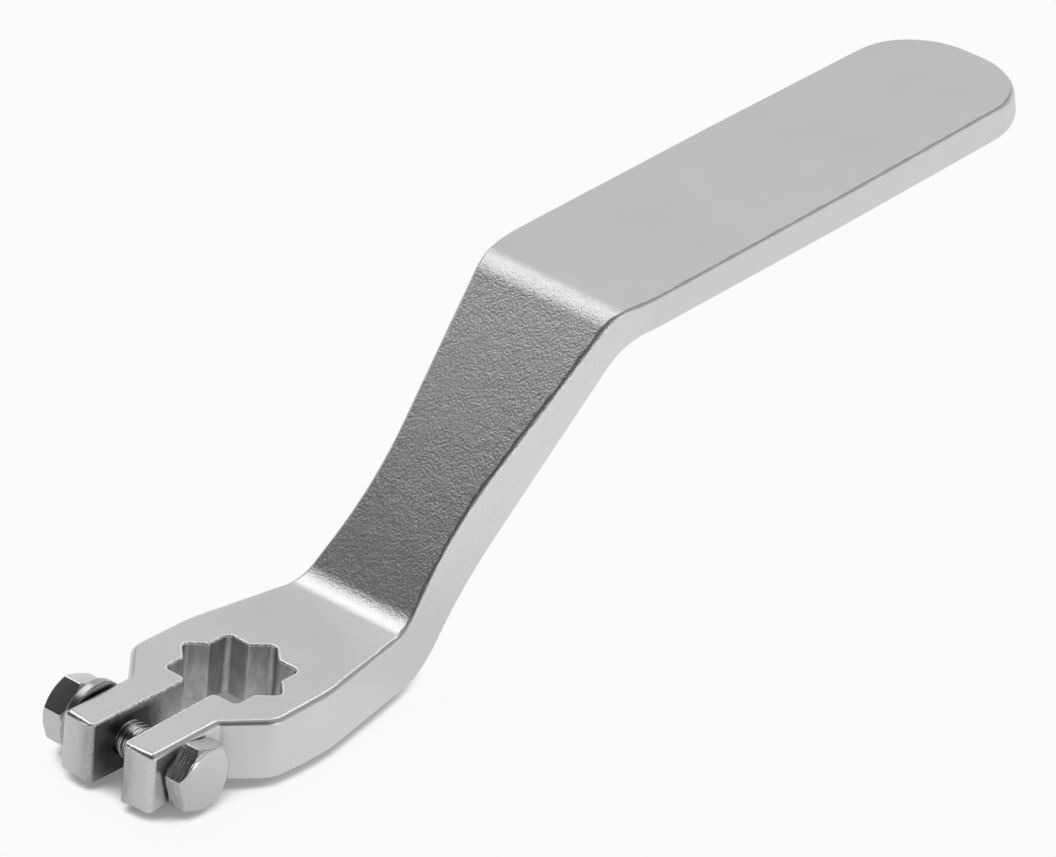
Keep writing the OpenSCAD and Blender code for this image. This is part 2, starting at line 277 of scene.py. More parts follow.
def on_line(rows, x):
    """Value and direction at x of a line with rounded corners.

    rows holds (x, value, radius) of each corner. Between corners the line is
    straight. Near a corner of radius r it is the circle that touches both
    straights, so value = centre -/+ sqrt(r^2 - (x - centre_x)^2).
    """
    rows = np.asarray(rows, float)
    x = np.asarray(x, float)
    px, pv, pr = rows.T
    slope = np.arctan2(np.diff(pv), np.diff(px))
    stretch = np.clip(np.searchsorted(px, x, side="right") - 1, 0, len(px) - 2)
    angle = slope[stretch]
    value = pv[stretch] + (x - px[stretch]) * np.tan(angle)
    for i in range(1, len(px) - 1):
        turn = slope[i] - slope[i - 1]
        side = np.sign(turn)
        reach = pr[i] * math.tan(abs(turn) / 2)
        start = px[i] - reach * math.cos(slope[i - 1])
        end = px[i] + reach * math.cos(slope[i])
        sin, cos = math.sin(slope[i - 1]), math.cos(slope[i - 1])
        centre_x = start - side * pr[i] * sin
        centre = pv[i] - reach * sin + side * pr[i] * cos
        inside = (x > start) & (x < end)
        off = np.where(inside, x - centre_x, 0.0)
        arc = centre - side * np.sqrt(np.maximum(pr[i] ** 2 - off**2, 0))
        value = np.where(inside, arc, value)
        angle = np.where(inside, side * np.arcsin(off / max(pr[i], 1e-9)), angle)
    return value, angle


def rounded_path(corners, per_arc, longest):
    """Points and outward normals along a path with rounded corners.

    corners holds (x, y, radius); the first and last are plain ends. An arc's
    normal turns evenly from that of one side to that of the next. Outward is to
    the right of the way along the path.
    """
    c = np.asarray(corners, float)
    way = unit(np.diff(c[:, :2], axis=0))
    points, normals = [], []
    last = c[0, :2]
    for i in range(1, len(c)):
        a = way[i - 1]
        left = np.array([-a[1], a[0]])
        if i < len(c) - 1:
            b = way[i]
            turn = math.atan2(a[0] * b[1] - a[1] * b[0], a @ b)
            reach = c[i, 2] * math.tan(abs(turn) / 2)
            stop = c[i, :2] - reach * a
        else:
            stop = c[i, :2]
        count = max(2, int(math.ceil(np.linalg.norm(stop - last) / longest)) + 1)
        t = np.linspace(0, 1, count)[:, None]
        points.append(last + (stop - last) * t)
        normals.append(np.repeat([-left], count, axis=0))
        if i < len(c) - 1:
            centre = stop + np.sign(turn) * c[i, 2] * left
            turned = turn * np.linspace(0, 1, per_arc + 1)[1:-1, None]
            n = -left * np.cos(turned) + a * np.sin(turned)
            points.append(centre + n * c[i, 2] * np.sign(turn))
            normals.append(n)
            last = c[i, :2] + reach * b
    return np.concatenate(points), np.concatenate(normals)


def lever_lines(s):
    """The lever's top, underside and side lines, each as (x, value, radius) rows."""
    over = s.under_high_x - s.crest_x
    under_high_z = s.crest_z + over * math.tan(s.handle_a) - s.handle_t
    top_end = s.crest_z + (s.tip_x - s.crest_x) * math.tan(s.handle_a)
    beyond = s.tip_x - s.under_high_x
    under_end = under_high_z + beyond * math.tan(s.under_handle_a)
    top = [
        (-s.ear_end_x, s.hub_t, 0),
        (s.low_bend_x, s.hub_t, s.low_bend_r),
        (s.crest_x, s.crest_z, s.crest_r),
        (s.tip_x, top_end, 0),
    ]
    under = [
        (-s.ear_end_x, 0, 0),
        (s.under_low_x, 0, s.under_low_r),
        (s.under_high_x, under_high_z, s.under_high_r),
        (s.tip_x, under_end, 0),
    ]
    taper_x = s.grip_x + (s.tip_x - s.grip_x) * TAPER_START
    side = [
        (-s.ear_end_x, s.ear_span / 2, 0),
        (-s.flare_x, s.ear_span / 2, s.flare_root_r),
        (-s.flare_end_x, s.hub_w / 2, s.flare_end_r),
        (s.hub_side_x, s.hub_side_w / 2, s.hub_side_r),
        (s.waist_x, s.waist_w / 2, s.waist_r),
        (s.grip_x, s.handle_w / 2, s.grip_r),
        (taper_x, s.handle_w / 2, s.taper_r),
        (s.tip_x, s.tip_w / 2, 0),
    ]
    return top, under, side


def side_half(s, side):
    """The +Y half of the outline, from the ear end to the tip.

    Returns points and outward normals. It is a quarter circle at the ear's
    corner, then the side line as half width over x, then the tip's corner. marks
    says how many steps the side line takes from each x to the next.
    """
    r = s.ear_corner_r
    turn = np.linspace(math.pi / 2, 0, 9)[:-1]
    x0 = -s.ear_end_x + r - r * np.sin(turn)
    y0 = s.ear_span / 2 - r + r * np.cos(turn)
    tip_a = math.atan2(side[-1][1] - side[-2][1], side[-1][0] - side[-2][0])
    cx = s.tip_x - s.tip_r
    cy = float(on_line(side, np.array([cx]))[0][0]) - s.tip_r / math.cos(tip_a)
    marks = (
        (-s.ear_end_x + r, 3),
        (-s.flare_x - 2 * MM, 48),
        (-s.flare_end_x + 4 * MM, 30),
        (s.low_bend_x - 4 * MM, 60),
        (s.under_low_x + 5 * MM, 40),
        (s.crest_x - 4 * MM, 60),
        (s.grip_x + 4 * MM, 120),
        (cx - s.tip_r * math.sin(tip_a), 0),
    )
    stations = np.concatenate(
        [
            np.linspace(start, end, steps + 1)[:-1]
            for (start, steps), (end, _) in zip(marks, marks[1:])
        ]
    )
    y1, a1 = on_line(side, stations)
    a2 = np.linspace(tip_a, -math.pi / 2, 41)
    x = np.concatenate([x0, stations, cx - s.tip_r * np.sin(a2)])
    y = np.concatenate([y0, y1, cy + s.tip_r * np.cos(a2)])
    a = np.concatenate([turn, a1, a2])
    return np.stack([x, y], 1), np.stack([-np.sin(a), np.cos(a)], 1)


def inner_path(s):
    """The inner outline: ear end, slot wall, star, slot wall, ear end.

    The star is a square across its flats and the same square turned by 45
    degrees. Its tips lie half the flats x sqrt(2) from the middle, and its roots
    half the flats x (sqrt(2) - 1) from the middle of each side.
    """
    h = s.square_af / 2
    v = h * (math.sqrt(2) - 1)
    tip = s.square_af / math.sqrt(2)
    slot = s.slot_w / 2
    mid = (s.ear_span / 2 + slot) / 2
    corners = [
        (-s.ear_end_x, mid, 0),
        (-s.ear_end_x, slot, s.ear_corner_r),
        (-h, slot - s.slot_draw, s.slot_corner_r),
    ]
    ring = [(-h, h), (-v, h), (0, tip), (v, h), (h, h), (h, v), (tip, 0)]
    ring += [(x, -y) for x, y in ring[-2::-1]]
    for k, (x, y) in enumerate(ring):
        corners.append((x, y, s.star_tip_r if k % 2 == 0 else s.star_root_r))
    corners += [
        (-h, s.slot_draw - slot, s.slot_corner_r),
        (-s.ear_end_x, -slot, s.ear_corner_r),
        (-s.ear_end_x, -mid, 0),
    ]
    return rounded_path(corners, 8, 1.5 * MM)


def ear_end_share(s, p):
    """How far out on an ear's end a point lies.

    It is 0 at the slot's wall and everywhere off the ends, and grows evenly to 1
    over 3 mm.
    """
    at_end = p[:, 0] < EAR_END_ZONE - s.ear_end_x
    return at_end * ramp(np.abs(p[:, 1]), s.slot_w / 2, s.slot_w / 2 + 3 * MM)


def edge_radius(s, p, n, outer, lower):
    """Radius of the rounding at each point of the outline.

    Outside it is the cast edge's, which grows in a smooth step to the tip's. On
    the -Y side of the top face three sines of x vary it by up to 30 % of the
    cast edge's, for the uneven edge of a casting. Inside it is the socket's, and
    on the ears' ends it grows from that to the cast edge's, away from the slot.
    """
    x = p[:, 0]
    small = s.foot_edge_r if lower else s.inner_edge_r
    inner = small + (s.edge_r - small) * ear_end_share(s, p)
    to_tip = smooth(ramp(x, s.tip_x - s.tip_blend, s.tip_x))
    cast = s.edge_r + (s.tip_edge_r - s.edge_r) * to_tip
    if not lower:
        waves = np.sin(np.outer(x / MM, EDGE_WAVES) + EDGE_PHASES).sum(axis=1)
        near_side = ramp(x, 0.0, s.low_bend_x) * (n[:, 1] < 0)
        cast = cast + 0.1 * s.edge_r * waves * near_side
    return np.where(outer, cast, inner)


def blasted_share(s, x):
    """How coarse the grain is along x, which is most between the bends.

    It is a smooth step up at the lower bend times a smooth step down at the
    upper one, times 0.8 to 1.3 on the way from the one to the other.
    """
    rise = ramp(x, s.low_bend_x - 3 * MM, s.low_bend_x + 2 * MM)
    fall = ramp(x, s.crest_x + 4 * MM, s.crest_x - 1 * MM)
    return (0.8 + 0.5 * ramp(x, s.low_bend_x, s.crest_x)) * smooth(rise) * smooth(fall)


def lever_mesh(s):
    """The whole casting as one closed skin.

    A quarter-round profile is carried along the closed outline, once under the
    top face and once above the underside. With phi from 0 at the face to 90
    degrees at the wall, a point lies r (1 - sin phi) inside the outline and
    r (1 - cos phi) below the face along the face's own normal, and its normal
    is cos phi of the face's plus sin phi of the wall's. On the hub the round is
    up to 1.4 times as wide as it is high, and on the handle phi starts at 28
    degrees, so that the face ends in a crisp line. The lower rings lie further
    out by the walls' draft.

    Returns vertices, faces, normals and three shares for each point: how far it
    lies on a wall of the socket or slot, 1.6 sin^2 phi up to 1, where shade is
    painted; how far on the upper round of such a wall, sqrt(sin 2 phi), or on an
    ear's upright corner, where highlights are painted; and how coarse the blasted
    grain is.
    """
    top, under, side = lever_lines(s)

    # The closed outline: the -Y side, the +Y side back, then the inner path
    half_p, half_n = side_half(s, side)
    in_p, in_n = inner_path(s)
    mirrored = np.array([1.0, -1.0])
    p = np.concatenate([half_p * mirrored, half_p[::-1], in_p])
    n = np.concatenate([half_n * mirrored, half_n[::-1], in_n])
    total = len(p)
    x = p[:, 0]
    outer = np.arange(total) < 2 * len(half_p)

    # What changes along it: the round's width, the draft, the crisp edge and shares
    on_hub = smooth(ramp(x, s.low_bend_x, s.low_bend_x - 20 * MM))
    wide = np.where(outer, 1 + 0.4 * on_hub, 1.0)
    draft = np.where(outer, s.draft_w * ramp(x, -s.flare_end_x, 0.0), 0.0)
    wall = unit(np.stack([n[:, 0], n[:, 1], draft / DRAFT_HEIGHT], 1))
    crisp = ramp(x, s.crest_x - 4 * MM, s.crest_x + 2 * MM) * outer
    first = crisp * CRISP_START
    inner = np.where(outer, 0.0, 1.0 - 0.8 * ear_end_share(s, p))
    corner = (x < EAR_END_ZONE - s.ear_end_x) * 2 * np.abs(n[:, 0] * n[:, 1])
    verts, norms, walls, edges = [], [], [], []

    def add_ring(angle, lower):
        rows, away = (under, 1.0) if lower else (top, -1.0)
        r = edge_radius(s, p, n, outer, lower)
        turned = first + (math.pi / 2 - first) * angle / (math.pi / 2)
        drop = away * r * (np.cos(first) - np.cos(turned))
        inset = r * (1 - np.sin(turned)) * wide - (draft if lower else 0.0)
        if angle == 0:
            inset = inset + CRISP_RIM * crisp
            turned = np.zeros(total)
        flat_x, y = (p - inset[:, None] * n).T
        foot = flat_x + drop * np.sin(on_line(rows, flat_x)[1])
        z, slope = on_line(rows, foot)
        verts.append(
            np.stack([foot - drop * np.sin(slope), y, z + drop * np.cos(slope)], 1)
        )
        face = -away * np.stack([-np.sin(slope), np.zeros(total), np.cos(slope)], 1)
        norms.append(
            unit(np.cos(turned)[:, None] * face + np.sin(turned)[:, None] * wall)
        )
        steep = math.sin(angle) ** 2
        rim = 0.0 if lower else math.sin(2 * angle) ** 0.5
        # Painted shade on the socket's and slot's walls, and painted highlights on their
        # upper rounds and the ears' upright corners
        walls.append(inner * min(1.0, 1.6 * steep))
        edges.append(np.maximum(inner * rim, EAR_CORNER_HIGHLIGHT * corner * steep))

    phi = [0.0, *np.linspace(0.02, math.pi / 2, ROUND_RINGS - 1).tolist()]
    for angle in phi:
        add_ring(angle, False)
    for angle in phi[::-1]:
        add_ring(angle, True)
    blasted = np.tile(blasted_share(s, x), 2 * ROUND_RINGS)
    shares = np.stack([np.concatenate(walls), np.concatenate(edges), blasted], 1)
    faces = lever_faces(total, half_p[:, 0])
    return np.concatenate(verts), faces, np.concatenate(norms), shares


def lever_faces(total, half_x):
    """Faces of the casting's rings of points.

    Each ring is joined to the next by a wall of quads. The incline's and the
    handle's faces are strips from side to side, from the first station beyond
    20 mm, and the hub's faces are one polygon each.
    """
    k = np.arange(total)
    k2 = (k + 1) % total
    walls = []
    for ring in range(2 * ROUND_RINGS - 1):
        a, b = ring * total, (ring + 1) * total
        walls.append(np.stack([a + k, b + k, b + k2, a + k2], 1))
    faces = np.concatenate(walls).tolist()

    count = len(half_x)
    join = int(np.argmax(half_x > 20 * MM))
    last = (2 * ROUND_RINGS - 1) * total
    right = np.arange(join, count - 1)
    left = 2 * count - 1 - right
    faces += np.stack([right, right + 1, left - 1, left], 1).tolist()
    faces += (last + np.stack([left, left - 1, right + 1, right], 1)).tolist()
    hub = np.concatenate([np.arange(2 * count - 1 - join, total), np.arange(join + 1)])
    faces.append(hub.tolist())
    faces.append((last + hub[::-1]).tolist())
    return faces


def angles(around):
    """Angles of so many points evenly round an axis, from 0."""
    return np.arange(around) * 2 * math.pi / around


def hex_radius(theta, across, turn):
    """Distance from the axis to a hexagon's side, with softly rounded corners.

    It is half the width across the flats, divided by (sum of max(0, cos)^p)^(1/p)
    over the cosines of the angles to the six flats, with p = HEX_SHARPNESS.
    """
    flats = turn + math.pi / 6 + np.arange(6) * math.pi / 3
    c = np.maximum(np.cos(theta[:, None] - flats[None, :]), 0.0)
    return across / 2 / np.sum(c**HEX_SHARPNESS, axis=1) ** (1.0 / HEX_SHARPNESS)


def soft_corner(p0, p1, p2, steps):
    """Rows along a parabola from p0 to p2 that touches p0-p1 and p1-p2."""
    t = np.linspace(0, 1, steps + 1)[:, None, None]
    return list((1 - t) ** 2 * p0 + 2 * t * (1 - t) * p1 + t**2 * p2)


def skin_of_rows(rows, centre, closed):
    """Vertices and faces of rows of (radius, height) round the bolt axis.

    rows is an array [row, angle, 2]. The angle runs from +X towards +Z, and
    the height along +Y. closed joins the last row to the first, else each end
    is closed by one polygon.
    """
    count, around = rows.shape[:2]
    theta = angles(around)
    x = centre[0] + rows[:, :, 0] * np.cos(theta)
    z = centre[2] + rows[:, :, 0] * np.sin(theta)
    y = centre[1] + rows[:, :, 1]
    verts = np.stack([x, y, z], 2).reshape(-1, 3)
    j = np.arange(around)
    j2 = (j + 1) % around
    faces = []
    for i in range(count if closed else count - 1):
        a, b = i * around, ((i + 1) % count) * around
        faces += np.stack([a + j, a + j2, b + j2, b + j], 1).tolist()
    if not closed:
        faces.append(j[::-1].tolist())
        faces.append(((count - 1) * around + j).tolist())
    return verts, faces


def row(radius, height, around=HEX_AROUND):
    """One row of (radius, height), each a number or one number per angle."""
    return np.stack(
        [np.broadcast_to(radius, (around,)), np.broadcast_to(height, (around,))], 1
    )


def crown_drop(f, radius):
    """How far a chamfer lies below its face, which it leaves in a curve.

    With t the way from the face's rim to the end of the curve, from 0 to 1, the
    drop is slope x width x t^2 / 2, and beyond the curve it grows by slope x
    distance.
    """
    slope = math.tan(f.chamfer_a)
    out = np.asarray(radius) - f.head_face_d / 2
    t = np.clip(out / f.crown_w, 0, 1)
    return slope * (f.crown_w * t**2 / 2 + np.maximum(out - f.crown_w, 0))


def chamfer_rows(f, hexagon, face, into, e, shares):
    """Rows from a face's rim over its crowned chamfer to the hexagon's side.

    face is the face's height and into is 1 or -1, the way into the body. The
    corner between chamfer and side is rounded over the length e.
    """
    rim = f.head_face_d / 2
    slope = [rim + (hexagon - e - rim) * q for q in shares]
    rows = [row(r, face + into * crown_drop(f, r)) for r in slope]
    start = face + into * crown_drop(f, hexagon - e)
    corner = face + into * crown_drop(f, hexagon)
    side = row(hexagon, corner + into * e)
    return rows + soft_corner(row(hexagon - e, start), row(hexagon, corner), side, 4)


def bolt_mesh(f, ear_half):
    """The bolt as rows round its axis, from the head's face to its thread end.

    The head's face runs into its crowned chamfer, which the hexagon's radius
    cuts off. The thread's radius at height y and angle a is the crest's less the
    depth times cut. Cut is the triangle wave of y / pitch - a / 360, taken from 0
    at THREAD_CREST to 1 after THREAD_FLANK, and it sets in 1.2 mm below the head.
    """
    theta = angles(HEX_AROUND)
    hexagon = hex_radius(theta, f.hex_af, f.head_turn)
    face_r = f.head_face_d / 2
    top = -f.head_h
    bottom = -f.head_face_t
    e = 0.2 * MM
    bevel = 0.05 * MM
    play = 0.02 * MM

    # The head: its face, chamfer and side, and the bearing face under it
    rows = [row(q * face_r, top) for q in (0.02, 0.4, 0.8, 1.0)]
    rows += chamfer_rows(f, hexagon, top, 1, e, (0.15, 0.3, 0.45, 0.6, 0.75, 0.88))
    rows.append(row(hexagon, (top + crown_drop(f, hexagon) + bottom) / 2))
    rows += soft_corner(
        row(hexagon, bottom - e), row(hexagon, bottom), row(hexagon - e, bottom), 3
    )
    foot = face_r + f.crown_w / 2
    rows += [row(foot + e, bottom), row(foot, bottom), row(foot, bottom + bevel)]
    rows += [row(foot, -bevel), row(foot - bevel, 0.0), row(foot - e, 0.0)]
    crest = f.bolt_d / 2 - play
    rows += [row(crest + e, 0.0), row(crest, play)]

    # The threaded shank, and the cone and face at its end
    y = np.arange(0.2 * MM, f.bolt_len - play, f.pitch / THREAD_ROWS)
    wave = y[:, None] / f.pitch - theta[None, :] / (2 * math.pi)
    tri = np.abs(2 * (wave - np.floor(wave)) - 1)
    cut = np.clip((tri - THREAD_CREST) / THREAD_FLANK, 0, 1)
    start = np.clip((y - 1.2 * MM) / f.pitch, 0, 1)[:, None]
    radius = crest - f.thread_depth * cut * start
    tail = f.bolt_d / 2 - 0.7 * MM
    radius = np.minimum(radius, tail + np.maximum(f.bolt_len - y, 0)[:, None])
    shank = np.stack([radius, np.broadcast_to(y[:, None], radius.shape)], 2)
    closing = [row(q * tail, f.bolt_len) for q in (0.96, 0.9, 0.5, 0.02)]
    rows = np.concatenate([rows, shank, closing])
    return skin_of_rows(rows[::-1], (-f.bolt_x, -ear_half, f.bolt_z), False)


def nut_mesh(f, ear_half):
    """The nut as rows round its axis: bore, lead-in, face, chamfer and hexagon.

    One half runs from the middle outwards, and the other half mirrors it.
    """
    theta = angles(HEX_AROUND)
    hexagon = hex_radius(theta, f.hex_af, f.nut_turn)
    bore = f.bolt_d / 2 + f.thread_gap
    lead = 0.6 * MM
    e = 0.12 * MM
    mid = f.nut_h / 2
    low, wide = mid - lead, bore + lead

    half = [row(bore, 0.0), row(bore, low - e)]
    half += soft_corner(row(bore, low - e), row(bore, low), row(bore + e, low + e), 2)
    half += soft_corner(row(wide - e, mid - e), row(wide, mid), row(wide + e, mid), 3)
    half += chamfer_rows(f, hexagon, mid, -1, e, (0.0, 0.25, 0.5, 0.75))
    half.append(row(hexagon, 0.0))
    half = np.array(half)
    other = half[1:-1][::-1].copy()
    other[:, :, 1] *= -1
    rows = np.concatenate([half, other])
    y = ear_half + f.washer_gap + f.washer_t + mid
    return skin_of_rows(rows[::-1], (-f.bolt_x, y, f.bolt_z), True)


def washer_mesh(f, ear_half):
    """The washer as rows round its axis, with a rolled edge on one side."""
    outer, bore = f.washer_d / 2, f.washer_bore_d / 2
    t = f.washer_t

    def arc(centre_r, centre_h, r, start, end, steps):
        turn = np.radians(np.linspace(start, end, steps + 1))
        return [(centre_r + r * math.cos(a), centre_h + r * math.sin(a)) for a in turn]

    cut, rolled = 0.15 * MM, 0.35 * MM
    points = arc(outer - rolled, t - rolled, rolled, 90, 0, 6)
    points += arc(outer - cut, cut, cut, 0, -90, 4)
    points += arc(bore + cut, cut, cut, -90, -180, 4)
    points += arc(bore + rolled, t - rolled, rolled, 180, 90, 6)
    rows = np.array([row(*point, WASHER_AROUND) for point in points])
    y = ear_half + f.washer_gap
    return skin_of_rows(rows, (-f.bolt_x, y, f.bolt_z), True)


def put(tree, value, socket):
    """Links an output to a socket, or sets the socket to a plain value."""
    if isinstance(value, bpy.types.NodeSocket):
        tree.links.new(value, socket)
    else:
        socket.default_value = value


def add_node(tree, kind, values, **settings):
    """A node with its own settings, and a value or link for each input named."""
    node = tree.nodes.new(kind)
    for key, value in settings.items():
        setattr(node, key, value)
    for key, value in values.items():
        put(tree, value, node.inputs[key])
    return node


def maths(tree, kind, *values):
    """The result of a Math node with these inputs, in order."""
    values = dict(enumerate(values))
    return add_node(tree, "ShaderNodeMath", values, operation=kind).outputs[0]


def vector_maths(tree, kind, *values):
    """A Vector Math node with these inputs, in order."""
    values = dict(enumerate(values))
    return add_node(tree, "ShaderNodeVectorMath", values, operation=kind)


def smooth_range(tree, value, low, high, at_low, at_high):
    """A smooth step of a value: at_low below low, at_high above high."""
    keys = ("Value", "From Min", "From Max", "To Min", "To Max")
    values = dict(zip(keys, (value, low, high, at_low, at_high)))
    node = add_node(tree, "ShaderNodeMapRange", values, interpolation_type="SMOOTHSTEP")
    return node.outputs["Result"]


def object_place(tree):
    """Object coordinates, as one vector and split into X, Y and Z."""
    place = tree.nodes.new("ShaderNodeTexCoord").outputs["Object"]
    return place, add_node(tree, "ShaderNodeSeparateXYZ", {0: place}).outputs


def new_group(name, inputs, outputs):
    """A node group, from the names, kinds and defaults of its sockets.

    Returns its tree, and its sockets as they are seen from within.
    """
    tree = bpy.data.node_groups.new(name, "ShaderNodeTree")
    for key, kind, default in inputs:
        socket = tree.interface.new_socket(name=key, in_out="INPUT", socket_type=kind)
        socket.default_value = default
    for key, kind in outputs:
        tree.interface.new_socket(name=key, in_out="OUTPUT", socket_type=kind)
    inner = tree.nodes.new("NodeGroupInput").outputs
    return tree, inner, tree.nodes.new("NodeGroupOutput").inputs


def metal_surface_group():
    """Grain, slow swell, tool marks and colour change of a metal surface.

    Height is grain x grain height x (0.2 + blasted + 1.6 edge + 0.3 wall) + swell
    x swell height + marks x mark height x (1 + 6 blasted). Marks are noise
    stretched by Mark Scale, which is in waves per metre along X, Y and Z. The wall
    share darkens the colour, more where the marks are low, as painted shade on the
    socket's and slot's walls and the bolt's thread and as a duller finish on the
    washer, and it also roughens the surface. The bolt ring's share darkens the
    colour as painted shade round the bolt. The edge share lightens the colour in
    specks as a painted highlight on the rims. Both the colour and the roughness
    drift with the noises.
    """
    tree, inp, out = new_group(
        "metal_surface",
        (
            ("Grain Scale", NUMBER, 2400.0),
            ("Grain Height", NUMBER, 0.03 * MM),
            ("Swell Scale", NUMBER, 90.0),
            ("Swell Height", NUMBER, 0.05 * MM),
            ("Mark Scale", VECTOR, (900.0, 900.0, 120.0)),
            ("Mark Height", NUMBER, 0.0),
            ("Roughness", NUMBER, 0.35),
            ("Roughness Change", NUMBER, 0.06),
            ("Colour", COLOUR, (0.7, 0.7, 0.7, 1)),
            ("Colour Change", NUMBER, 0.05),
            ("Wall Shade And Dull", NUMBER, 0.0),
            ("Highlit Edge", NUMBER, 0.0),
            ("Blasted", NUMBER, 0.0),
            ("Painted Shade", NUMBER, 0.0),
        ),
        (("Height", NUMBER), ("Roughness", NUMBER), ("Colour", COLOUR)),
    )
    place = object_place(tree)[0]

    def plus(a, b):
        return maths(tree, "ADD", a, b)

    def minus(a, b):
        return maths(tree, "SUBTRACT", a, b)

    def times(a, b):
        return maths(tree, "MULTIPLY", a, b)

    def noise(at, scale, detail, rough):
        values = {"Vector": at, "Scale": scale, "Detail": detail, "Roughness": rough}
        return add_node(tree, "ShaderNodeTexNoise", values).outputs["Fac"]

    stretched = vector_maths(tree, "MULTIPLY", place, inp["Mark Scale"])
    grain = noise(place, inp["Grain Scale"], 2.0, 0.75)
    swell = noise(place, inp["Swell Scale"], 2.0, 0.45)
    marks = noise(stretched.outputs[0], 1.0, 3.0, 0.6)
    drift = minus(swell, 0.5)
    specks = minus(grain, 0.5)

    rim = plus(times(inp["Highlit Edge"], 1.6), times(inp["Wall Shade And Dull"], 0.3))
    lift = plus(0.2, plus(rim, inp["Blasted"]))
    fine = times(times(grain, inp["Grain Height"]), lift)
    slow = times(swell, inp["Swell Height"])
    deep = plus(1.0, times(inp["Blasted"], 6.0))
    cut = times(times(marks, inp["Mark Height"]), deep)
    put(tree, plus(plus(fine, slow), cut), out["Height"])

    rough = plus(inp["Roughness"], times(drift, inp["Roughness Change"]))
    put(tree, plus(rough, times(inp["Wall Shade And Dull"], 0.08)), out["Roughness"])

    tone = plus(1.0, times(plus(drift, specks), inp["Colour Change"]))
    # Painted shade: the wall share darkens the walls, more where the marks are low, and
    # the bolt ring's share darkens round the bolt
    wall_darkening = plus(0.37, times(minus(marks, 0.5), -0.7))
    unshaded = minus(1.0, times(inp["Wall Shade And Dull"], wall_darkening))
    dark = times(unshaded, minus(1.0, inp["Painted Shade"]))
    # Painted highlight: the edge share lightens the rims in specks
    light = plus(dark, times(inp["Highlit Edge"], plus(0.65, times(specks, 6.0))))
    mix = vector_maths(tree, "SCALE", inp["Colour"])
    put(tree, times(tone, light), mix.inputs["Scale"])
    put(tree, mix.outputs[0], out["Colour"])
    return tree


def bolt_shade_ring_group():
    """Painted shade round the bolt where it meets the ears.

    With d the distance from the bolt's axis, the painted shade is Strength x (1 -
    smooth step of d from Inner to Outer). It fades out over the last millimetre
    below Top, and from Half Gap to 2 mm further from the middle it falls to a quarter.
    """
    tree, inp, out = new_group(
        "bolt_shade_ring",
        (
            ("Axis", VECTOR, (0, 0, 0)),
            ("Inner", NUMBER, 4 * MM),
            ("Outer", NUMBER, 8 * MM),
            ("Top", NUMBER, 9.5 * MM),
            ("Half Gap", NUMBER, 3 * MM),
            ("Strength", NUMBER, 0.5),
        ),
        (("Painted Shade", NUMBER),),
    )
    place, axes = object_place(tree)
    off = vector_maths(tree, "SUBTRACT", place, inp["Axis"]).outputs[0]
    flat = vector_maths(tree, "MULTIPLY", off, (1.0, 0.0, 1.0)).outputs[0]
    away = vector_maths(tree, "LENGTH", flat).outputs["Value"]
    ring = smooth_range(tree, away, inp["Inner"], inp["Outer"], 1.0, 0.0)
    under = maths(tree, "SUBTRACT", inp["Top"], 1 * MM)
    low = smooth_range(tree, axes["Z"], under, inp["Top"], 1.0, 0.0)
    aside = maths(tree, "ABSOLUTE", axes["Y"])
    wider = maths(tree, "ADD", inp["Half Gap"], 2 * MM)
    between = smooth_range(tree, aside, inp["Half Gap"], wider, 1.0, 0.0)
    painted_shade = maths(tree, "MULTIPLY", ring, low)
    painted_shade = maths(tree, "MULTIPLY", painted_shade, maths(tree, "MAXIMUM", between, 0.25))
    put(tree, maths(tree, "MULTIPLY", painted_shade, inp["Strength"]), out["Painted Shade"])
    return tree


def metal_material(name, colour, values, shares=()):
    """A metal with the shared surface group and its own values.

    values gives inputs of the group by name, and shares pairs an input with the
    mesh attribute that feeds it.
    """
    group = bpy.data.node_groups.get("metal_surface") or metal_surface_group()
    mat = bpy.data.materials.new(name)
    mat.use_nodes = True
    tree = mat.node_tree
    values = {"Colour": (*colour, 1.0), **values}
    surface = add_node(tree, "ShaderNodeGroup", values, node_tree=group, name="surface")
    for key, attribute in shares:
        reader = add_node(tree, "ShaderNodeAttribute", {}, attribute_name=attribute)
        put(tree, reader.outputs["Fac"], surface.inputs[key])
    values = {"Strength": 1.0, "Distance": 1.0, "Height": surface.outputs["Height"]}
    bump = add_node(tree, "ShaderNodeBump", values)
    shader = tree.nodes["Principled BSDF"].inputs
    shader["Metallic"].default_value = 1.0
    put(tree, surface.outputs["Colour"], shader["Base Color"])
    put(tree, surface.outputs["Roughness"], shader["Roughness"])
    put(tree, bump.outputs["Normal"], shader["Normal"])
    return mat


